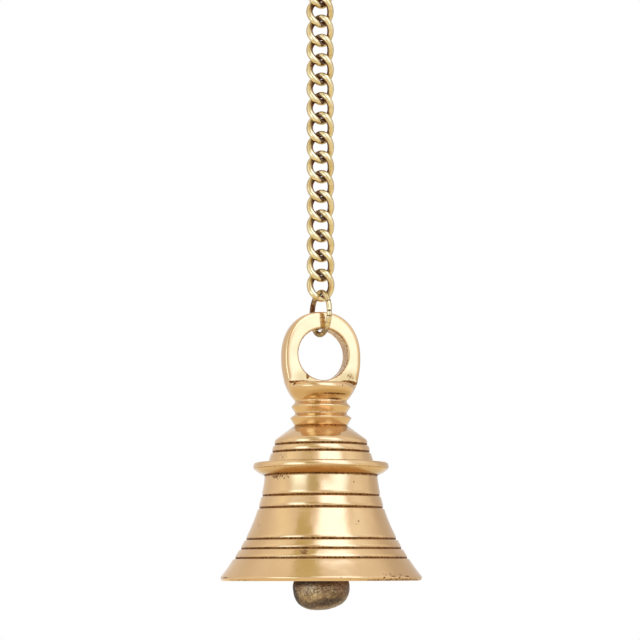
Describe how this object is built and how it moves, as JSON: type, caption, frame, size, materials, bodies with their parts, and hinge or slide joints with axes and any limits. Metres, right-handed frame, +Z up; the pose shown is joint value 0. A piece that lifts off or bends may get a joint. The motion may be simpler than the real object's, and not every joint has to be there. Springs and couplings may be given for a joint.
{
  "type": "hanging bell",
  "caption": "Turned brass hanging bell with a flared mouth, moulded flange and egg-shaped loop, on a jump ring, a twisted curb chain and an S-hook, with a ball clapper inside.",
  "frame": {"origin": "bearing point at the inner top of the hook", "axes": "+Z up along the chain, the front of the bell faces -Y"},
  "size_m": [0.0786, 0.0786, 0.2812],
  "materials": {
    "polished_brass": "polished, with dark patina in the grooves",
    "chain_brass": "antique, bright on the outside and dark in the recesses",
    "fixing_brass": "plain turned",
    "clapper_bronze": "rough cast, dark"
  },
  "bodies": {
    "hook": {"hang_hook": "chain_brass"},
    "link_01": {"chain_link_01": "chain_brass"},
    "link_02": {"chain_link_02": "chain_brass"},
    "link_03": {"chain_link_03": "chain_brass"},
    "link_04": {"chain_link_04": "chain_brass"},
    "link_05": {"chain_link_05": "chain_brass"},
    "link_06": {"chain_link_06": "chain_brass"},
    "link_07": {"chain_link_07": "chain_brass"},
    "link_08": {"chain_link_08": "chain_brass"},
    "link_09": {"chain_link_09": "chain_brass"},
    "link_10": {"chain_link_10": "chain_brass"},
    "link_11": {"chain_link_11": "chain_brass"},
    "link_12": {"chain_link_12": "chain_brass"},
    "link_13": {"chain_link_13": "chain_brass"},
    "link_14": {"chain_link_14": "chain_brass"},
    "link_15": {"chain_link_15": "chain_brass"},
    "link_16": {"chain_link_16": "chain_brass"},
    "ring": {"jump_ring": "chain_brass"},
    "bell": {"crown_loop": "polished_brass", "bell_body": "polished_brass", "crown_washer": "fixing_brass", "lock_nut": "fixing_brass", "eye_bolt": "fixing_brass"},
    "clapper": {"clapper_rod": "clapper_bronze", "clapper_ball": "clapper_bronze"}
  },
  "joints": [
    {"name": "link_01_tip", "type": "hinge", "parent": "hook", "child": "link_01", "pos_m": [0, 0, -0.0289], "axis": [0.7071, 0.7071, 0], "range_deg": [-45, 45]},
    {"name": "link_02_tip", "type": "hinge", "parent": "link_01", "child": "link_02", "pos_m": [0, 0, -0.03393], "axis": [0.7071, -0.7071, 0], "range_deg": [-30, 30]},
    {"name": "link_03_tip", "type": "hinge", "parent": "link_02", "child": "link_03", "pos_m": [0, 0, -0.0446], "axis": [-0.7071, -0.7071, 0], "range_deg": [-30, 30]},
    {"name": "link_04_tip", "type": "hinge", "parent": "link_03", "child": "link_04", "pos_m": [0, 0, -0.04983], "axis": [-0.7071, 0.7071, 0], "range_deg": [-30, 30]},
    {"name": "link_05_tip", "type": "hinge", "parent": "link_04", "child": "link_05", "pos_m": [0, 0, -0.0605], "axis": [0.7071, 0.7071, 0], "range_deg": [-30, 30]},
    {"name": "link_06_tip", "type": "hinge", "parent": "link_05", "child": "link_06", "pos_m": [0, 0, -0.06573], "axis": [0.7071, -0.7071, 0], "range_deg": [-30, 30]},
    {"name": "link_07_tip", "type": "hinge", "parent": "link_06", "child": "link_07", "pos_m": [0, 0, -0.0764], "axis": [-0.7071, -0.7071, 0], "range_deg": [-30, 30]},
    {"name": "link_08_tip", "type": "hinge", "parent": "link_07", "child": "link_08", "pos_m": [0, 0, -0.08163], "axis": [-0.7071, 0.7071, 0], "range_deg": [-30, 30]},
    {"name": "link_09_tip", "type": "hinge", "parent": "link_08", "child": "link_09", "pos_m": [0, 0, -0.0923], "axis": [0.7071, 0.7071, 0], "range_deg": [-30, 30]},
    {"name": "link_10_tip", "type": "hinge", "parent": "link_09", "child": "link_10", "pos_m": [0, 0, -0.09753], "axis": [0.7071, -0.7071, 0], "range_deg": [-30, 30]},
    {"name": "link_11_tip", "type": "hinge", "parent": "link_10", "child": "link_11", "pos_m": [0, 0, -0.1082], "axis": [-0.7071, -0.7071, 0], "range_deg": [-30, 30]},
    {"name": "link_12_tip", "type": "hinge", "parent": "link_11", "child": "link_12", "pos_m": [0, 0, -0.11343], "axis": [-0.7071, 0.7071, 0], "range_deg": [-30, 30]},
    {"name": "link_13_tip", "type": "hinge", "parent": "link_12", "child": "link_13", "pos_m": [0, 0, -0.1241], "axis": [0.7071, 0.7071, 0], "range_deg": [-30, 30]},
    {"name": "link_14_tip", "type": "hinge", "parent": "link_13", "child": "link_14", "pos_m": [0, 0, -0.12933], "axis": [0.7071, -0.7071, 0], "range_deg": [-30, 30]},
    {"name": "link_15_tip", "type": "hinge", "parent": "link_14", "child": "link_15", "pos_m": [0, 0, -0.14], "axis": [-0.7071, -0.7071, 0], "range_deg": [-30, 30]},
    {"name": "link_16_tip", "type": "hinge", "parent": "link_15", "child": "link_16", "pos_m": [0, 0, -0.14523], "axis": [-0.7071, 0.7071, 0], "range_deg": [-30, 30]},
    {"name": "ring_tip", "type": "hinge", "parent": "link_16", "child": "ring", "pos_m": [0, 0, -0.1559], "axis": [0.7071, 0.7071, 0], "range_deg": [-40, 40]},
    {"name": "bell_swing", "type": "hinge", "parent": "ring", "child": "bell", "pos_m": [0, 0, -0.17023], "axis": [-0.4067, 0.9135, 0], "range_deg": [-40, 40]},
    {"name": "clapper_swing", "type": "hinge", "parent": "bell", "child": "clapper", "pos_m": [0, 0, -0.23047], "axis": [0.3007, -0.9537, 0], "range_deg": [-32, 32]}
  ]
}
